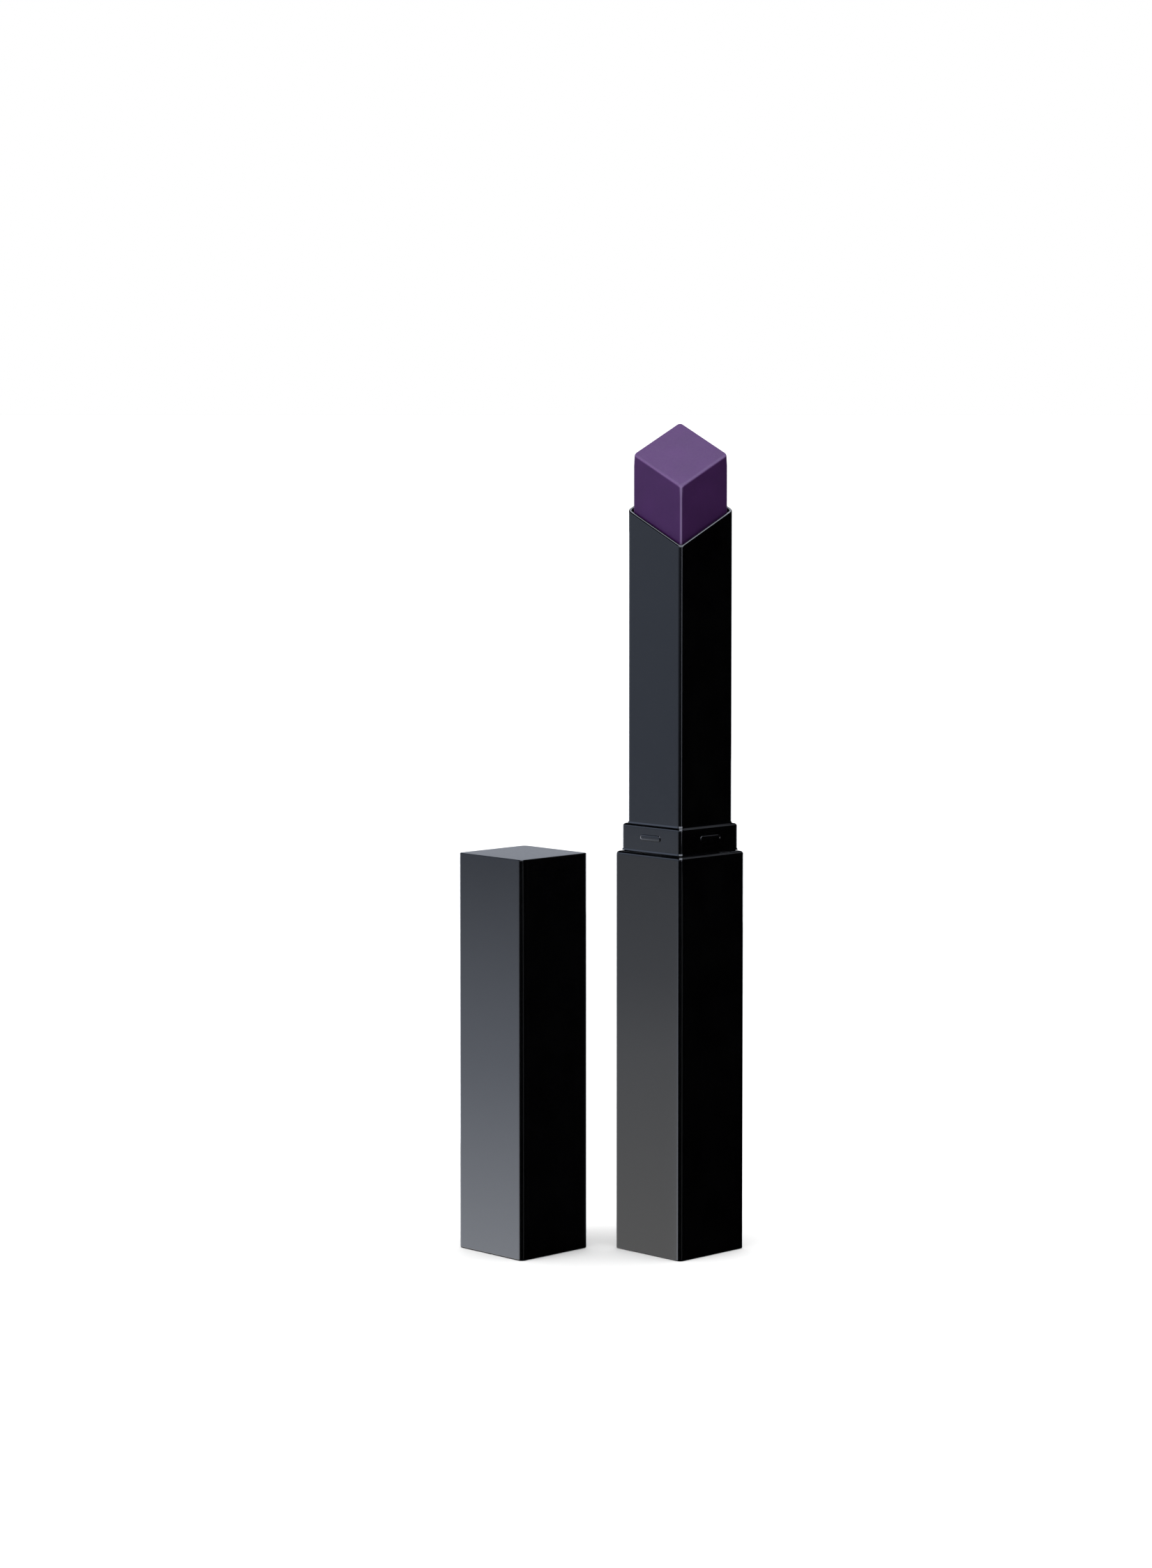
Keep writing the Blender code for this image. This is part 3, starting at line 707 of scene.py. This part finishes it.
cut.solver = "EXACT"
cut_mesh = bpy.data.meshes.new_from_object(
    cap_shell.evaluated_get(bpy.context.evaluated_depsgraph_get()))
bpy.data.objects.remove(dimple_cutter)
bpy.data.objects.remove(cap_shell)
cap_shell = show_mesh("cap_shell_lacquered", cut_mesh, black_lacquer)
stand_in(cap_shell, "cap_shell", "cap")

# %% [markdown]
# ## Cap liner
#
# Inside the cap sits a moulded liner, which keeps the cap straight over the sleeve. Its mouth has
# a lead-in, and it stops above the dimples. Cap and liner are left out of mirror reflections, so
# that the gloss on the case shows the studio's cards and not the side of its own cap.

# %% Cap liner
LINER_WALL = 0.40 * MM
LINER_TOP = 0.80 * MM
LINER_LEAD_IN = 0.15 * MM
LINER_EDGE = 0.10 * MM

liner_low, liner_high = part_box("cap_liner")
liner_half = node_half("cap_liner")
liner_bore = liner_half - LINER_WALL
cap_liner = loft("cap_liner_moulded", [
    (liner_bore, INNER_CORNER, liner_high.z - LINER_TOP, 0, 0),
    (liner_bore, INNER_CORNER, liner_low.z, 0, LINER_LEAD_IN),
    (liner_half, CASE_CORNER, liner_low.z, 0, LINER_EDGE),
    (liner_half, CASE_CORNER, liner_high.z, 0, LINER_EDGE),
    (liner_half - FACE_INSET, CASE_CORNER, liner_high.z, 0, 0),
], black_moulding, middle=cap_axis)
stand_in(cap_liner, "cap_liner", "cap")
cap_shell.visible_glossy = False
cap_liner.visible_glossy = False

# %% [markdown]
# ## The parts inside
#
# The weight, core, cam tube, guide tube, rings, pusher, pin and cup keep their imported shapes,
# which are already right. Each only gets the finish that belongs to its material slot.

# %% Finishes for the parts inside
slot_of_node = {part["node"]: part["material_slot"] for part in frame["record"]["subparts"]}
for node, carried in frame["nodes"].items():
    finish = finish_of_slot[slot_of_node[node]]
    for slot in carried.material_slots:
        slot.material = finish
print("finished nodes:", len(frame["nodes"]))

# %% [markdown]
# ## Studio
#
# A glossy black box shows nothing but the room around it, so the room is what gets designed. The
# floor and background are pale and evenly bright. Places in the room are given as the camera sees
# them: by an azimuth round the case, a distance from its axis and a height.

# %% Places around the case
LEFT = Vector((-1.0, -1.0, 0.0)).normalized()  # to the left, seen from the camera
TOWARDS = Vector((1.0, -1.0, 0.0)).normalized()  # towards the camera


def seen_at(azimuth, distance, z):
    """A place around the case. Azimuth 0 is towards the camera and 90 is to the left."""
    turn = math.radians(azimuth)
    return (TOWARDS * math.cos(turn) + LEFT * math.sin(turn)) * distance + Vector((0, 0, z))


def panel(name, middle, facing, width, height, material):
    """A flat rectangle whose face looks along facing, and whose UVs run 0 to 1."""
    facing = Vector(facing).normalized()
    up = Vector((0, 0, 1)) if abs(facing.z) < 0.9 else -TOWARDS
    across = up.cross(facing).normalized()
    up = facing.cross(across)
    corners = [(-1, -1), (1, -1), (1, 1), (-1, 1)]
    bm = bmesh.new()
    verts = [bm.verts.new(Vector(middle) + across * x * width / 2 + up * y * height / 2)
             for x, y in corners]
    surface = bm.faces.new(verts)
    uv = bm.loops.layers.uv.new("UVMap")
    for loop, (x, y) in zip(surface.loops, corners):
        loop[uv].uv = ((x + 1) / 2, (y + 1) / 2)
    mesh = bpy.data.meshes.new(name)
    bm.to_mesh(mesh)
    bm.free()
    mesh.materials.append(material)
    shown = bpy.data.objects.new(name, mesh)
    bpy.context.scene.collection.objects.link(shown)
    return shown


print("towards the camera:", [round(part, 4) for part in TOWARDS])

# %% Floor and background
FLOOR_SIDE = 40.0
FLOOR_DROP = 0.02 * MM  # the floor lies this far under the feet
FLOOR_GREY = 0.62

floor_material = new_finish("floor_pale")
floor_shader = shader_of(floor_material)
floor_shader.inputs["Base Color"].default_value = (FLOOR_GREY, FLOOR_GREY, FLOOR_GREY, 1.0)
floor_shader.inputs["Roughness"].default_value = 0.9
floor_shader.inputs["Specular IOR Level"].default_value = 0.0
floor = panel("floor", (0, 0, -FLOOR_DROP), (0, 0, 1), FLOOR_SIDE, FLOOR_SIDE, floor_material)
floor.visible_glossy = False

world = bpy.data.worlds.new("studio_air")
bpy.context.scene.world = world
world.use_nodes = True
air = world.node_tree
backdrop = air.nodes["Background"]
backdrop.inputs["Color"].default_value = (1.0, 1.0, 1.0, 1.0)
ray = air.nodes.new("ShaderNodeLightPath")
air.links.new(ray.outputs["Is Camera Ray"], backdrop.inputs["Strength"])
bpy.context.scene.view_settings.view_transform = "Standard"
print("floor and background ready")

# %% [markdown]
# ## Reflection cards
#
# The cards are dim glowing rectangles that only reflections can see. Each glows on its face alone,
# and its brightness runs through a few stops from its foot to its top. The bluish card at the left
# gives the cap, sleeve and collar their grey left-hand faces, and it is brighter towards the
# floor. A second, narrow one stands between the cap and the base and gives the base a gradient of
# its own. Nothing large stands at the right, so the right-hand faces stay black.
#
# The other cards draw lines and rims. The one at the front left lights the bullet and the rounded
# ledges, and the two narrow ones just right of the camera put a thread of light on the upright
# edges. The high ones light the near corners, the right-hand ledges, the sleeve's rim and the
# bullet's slanted top. The narrow ones at the rear catch the roundings of the outer upright edges,
# and the wide one at the back is what the flat tops mirror.

# %% How a card is made
def grey(level, blue=0.0):
    """A light's colour from its brightness, with some blue in it."""
    return (level * (1 - 0.13 * blue), level, level * (1 + 0.28 * blue))


def emission_material(name, stops, strength):
    """A card's light: stops of (place from its lower to its upper end, colour), times strength.
    Only its face shines, and its back is clear."""
    material = bpy.data.materials.new(name)
    material.use_nodes = True
    nodes, links = material.node_tree.nodes, material.node_tree.links
    nodes.clear()
    place = nodes.new("ShaderNodeTexCoord")
    split = nodes.new("ShaderNodeSeparateXYZ")
    ramp = nodes.new("ShaderNodeValToRGB")
    glow = nodes.new("ShaderNodeEmission")
    side = nodes.new("ShaderNodeNewGeometry")
    clear = nodes.new("ShaderNodeBsdfTransparent")
    either = nodes.new("ShaderNodeMixShader")
    output = nodes.new("ShaderNodeOutputMaterial")
    links.new(place.outputs["UV"], split.inputs[0])
    links.new(split.outputs["Y"], ramp.inputs["Fac"])
    while len(ramp.color_ramp.elements) < len(stops):
        ramp.color_ramp.elements.new(1.0)
    for element, (where, colour) in zip(ramp.color_ramp.elements, stops):
        element.position = where
        element.color = (*colour, 1.0)
    links.new(ramp.outputs["Color"], glow.inputs["Color"])
    glow.inputs["Strength"].default_value = strength
    links.new(side.outputs["Backfacing"], either.inputs["Fac"])
    links.new(glow.outputs[0], either.inputs[1])
    links.new(clear.outputs[0], either.inputs[2])
    links.new(either.outputs[0], output.inputs["Surface"])
    return material


def card(name, middle, facing, width, height, stops, strength):
    """Only reflections see a card: it is dark to the camera, to matt surfaces and to shadows."""
    shown = panel(name, middle, facing, width, height, emission_material(name, stops, strength))
    shown.visible_camera = False
    shown.visible_diffuse = False
    shown.visible_shadow = False
    print("card:", name)


def upright_card(name, azimuth, distance, width, strength, stops):
    """A card that stands facing the axis. Its stops are (height, colour), lowest first."""
    low, high = stops[0][0], stops[-1][0]
    places = [((z - low) / (high - low), colour) for z, colour in stops]
    middle = seen_at(azimuth, distance, (low + high) / 2)
    card(name, middle, -seen_at(azimuth, 1, 0), width, high - low, places, strength)


def aimed_card(name, azimuth, distance, z, width, height, strength, target_z):
    """A card of one brightness that leans over to face a point on the axis."""
    middle = seen_at(azimuth, distance, z)
    even = [(0.0, grey(1.0, 0.5)), (1.0, grey(1.0, 0.5))]
    card(name, middle, Vector((0, 0, target_z)) - middle, width, height, even, strength)


print("card helpers ready")

# %% Reflection cards
upright_card("card_left", azimuth=90, distance=0.16, width=0.20, strength=2.0, stops=[
    (-0.100, grey(1.0)), (-0.034, grey(0.98, 0.4)), (0.001, grey(0.51, 0.6)),
    (0.036, grey(0.22, 0.7)), (0.042, grey(0.185, 1.0)), (0.107, grey(0.195, 1.0)),
    (0.114, grey(0.36, 1.2)), (0.160, grey(0.36, 1.2))])
upright_card("card_between", azimuth=90, distance=0.0106, width=0.018, strength=1.0, stops=[
    (-0.004, grey(0.89)), (0.026, grey(0.67, 0.25)), (0.037, grey(0.50, 0.4)),
    (0.0532, grey(0.405, 0.5))])
upright_card("card_front_left", azimuth=35, distance=0.30, width=0.32, strength=1.0, stops=[
    (0.024, grey(0.03, 1.0)), (0.090, grey(0.13, 1.0)), (0.160, grey(0.16, 1.0))])
upright_card("card_edge_high", azimuth=-24, distance=0.25, width=0.06, strength=2.3, stops=[
    (0.028, grey(0.30, 0.6)), (0.150, grey(1.0, 0.6))])
upright_card("card_edge_low", azimuth=-44, distance=0.25, width=0.05, strength=1.3, stops=[
    (-0.090, grey(0.14, 0.2)), (0.022, grey(0.18, 0.3))])
upright_card("card_left_rear", azimuth=133, distance=0.20, width=0.05, strength=4.0, stops=[
    (-0.020, grey(0.9, 0.2)), (0.090, grey(0.9, 0.2))])
upright_card("card_right_rear", azimuth=-133, distance=0.20, width=0.05, strength=3.0, stops=[
    (0.018, grey(0.9, 0.2)), (0.048, grey(0.9, 0.2))])
upright_card("card_back", azimuth=180, distance=0.60, width=1.20, strength=1.0, stops=[
    (-0.300, grey(0.25, 0.3)), (-0.050, grey(0.60, 0.5)), (0.200, grey(0.25, 0.5))])
aimed_card("card_front_high", azimuth=0, distance=0.35, z=0.48, width=0.90, height=0.20,
           strength=2.6, target_z=0.06)
aimed_card("card_right_high", azimuth=-113, distance=0.25, z=0.275, width=0.12, height=0.12,
           strength=0.28, target_z=0.06)
aimed_card("card_top", azimuth=-95, distance=0.03, z=0.60, width=0.44, height=0.46,
           strength=2.7, target_z=0.0)

# %% [markdown]
# ## Lights
#
# Two lights reach the matt surfaces. A wide sun straight overhead makes the floor white and the
# bullet's slanted top the lightest of its faces, and a soft square light from the front left
# separates the bullet's left side from its right.

# %% Lights
def lamp(name, kind, energy):
    """A light that can't be seen itself, neither directly nor in the gloss."""
    light = bpy.data.lights.new(name, kind)
    light.energy = energy
    holder = bpy.data.objects.new(name, light)
    holder.visible_glossy = False
    holder.visible_camera = False
    bpy.context.scene.collection.objects.link(holder)
    print("light:", name)
    return holder


SUN_POWER = 6.4
SUN_SPREAD = math.radians(50)
SOFT_POWER = 8.0
SOFT_SIDE = 0.6
SOFT_PLACE = LEFT * 1.0 + TOWARDS * 0.6 + Vector((0, 0, 0.45))
SOFT_TARGET = Vector((0, 0, 0.08))

overhead = lamp("light_overhead", "SUN", SUN_POWER)
overhead.data.angle = SUN_SPREAD
soft_left = lamp("light_left", "AREA", SOFT_POWER)
soft_left.data.shape = "SQUARE"
soft_left.data.size = SOFT_SIDE
soft_left.location = SOFT_PLACE
soft_left.rotation_euler = (SOFT_TARGET - SOFT_PLACE).to_track_quat("-Z", "Y").to_euler()

# %% [markdown]
# ## Camera
#
# The eye is a little above the bullet's top and just over half a metre away, in front of the
# upright edge but turned a hair to the left, so that the left faces look slightly wider. It looks
# only a few degrees down, and the lens is shifted for the rest of the way to the foot, which keeps
# the upright edges upright.

# %% Camera
EYE_DISTANCE = 0.5270
EYE_HEIGHT = 0.1153
AIM_LEFT = 0.01398  # the view's middle lies this far to the left of the case's axis
CAMERA_TURN = 0.7  # degrees round the case, to the left
PITCH = math.radians(3.5)
LENS = 90.43
LENS_SHIFT = -0.0952

aim_drop = math.tan(PITCH) * math.hypot(EYE_DISTANCE, AIM_LEFT)
eye = seen_at(CAMERA_TURN, EYE_DISTANCE, EYE_HEIGHT)
aim = seen_at(CAMERA_TURN + 90, AIM_LEFT, EYE_HEIGHT - aim_drop)
camera_data = bpy.data.cameras.new("camera")
camera_data.lens = LENS
camera_data.sensor_width = 36.0
camera_data.shift_y = LENS_SHIFT
camera_data.clip_start = 0.01
camera = bpy.data.objects.new("camera", camera_data)
camera.location = eye
camera.rotation_euler = (aim - eye).to_track_quat("-Z", "Y").to_euler()
bpy.context.scene.collection.objects.link(camera)
bpy.context.scene.camera = camera
print("camera at", [round(part, 4) for part in eye])
